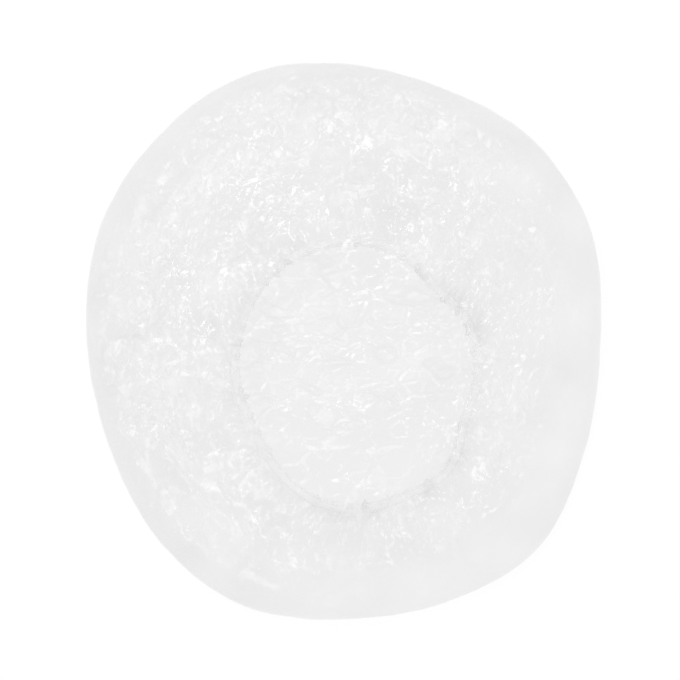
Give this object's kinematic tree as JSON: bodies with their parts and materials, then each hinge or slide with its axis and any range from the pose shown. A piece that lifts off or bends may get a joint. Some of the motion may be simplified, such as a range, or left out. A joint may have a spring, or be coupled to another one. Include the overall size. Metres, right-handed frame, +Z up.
{
  "type": "disposable shower cap",
  "caption": "clear film shower cap lying on its crown, with a puffed rolled rim and a gathered mouth whose turned-in hem holds a round elastic cord",
  "frame": {"origin": "middle of the cap's bounding box in plan, on the surface that the crown lies on", "axes": "+Z up through the open mouth, +Y towards the picture's upper edge along the cap's longer way, +X towards the picture's right"},
  "size_m": [0.256, 0.2768, 0.0313],
  "materials": {
    "film": "thin clear polyethylene film, crumpled, glossy",
    "weld": "two layers of the same film heat-welded into a narrow hazy strip",
    "elastic": "pale, nearly clear rubber cord, satin"
  },
  "bodies": {
    "crown": {"film_sheet": "film"},
    "mouth": {"hem_casing": "film", "hem_weld": "weld", "elastic_cord": "elastic"}
  },
  "joints": [
    {"name": "mouth_lift", "type": "slide", "parent": "crown", "child": "mouth", "axis": [0, 0, 1], "range_m": [0, 0.05], "deforming": ["film_sheet"]}
  ]
}
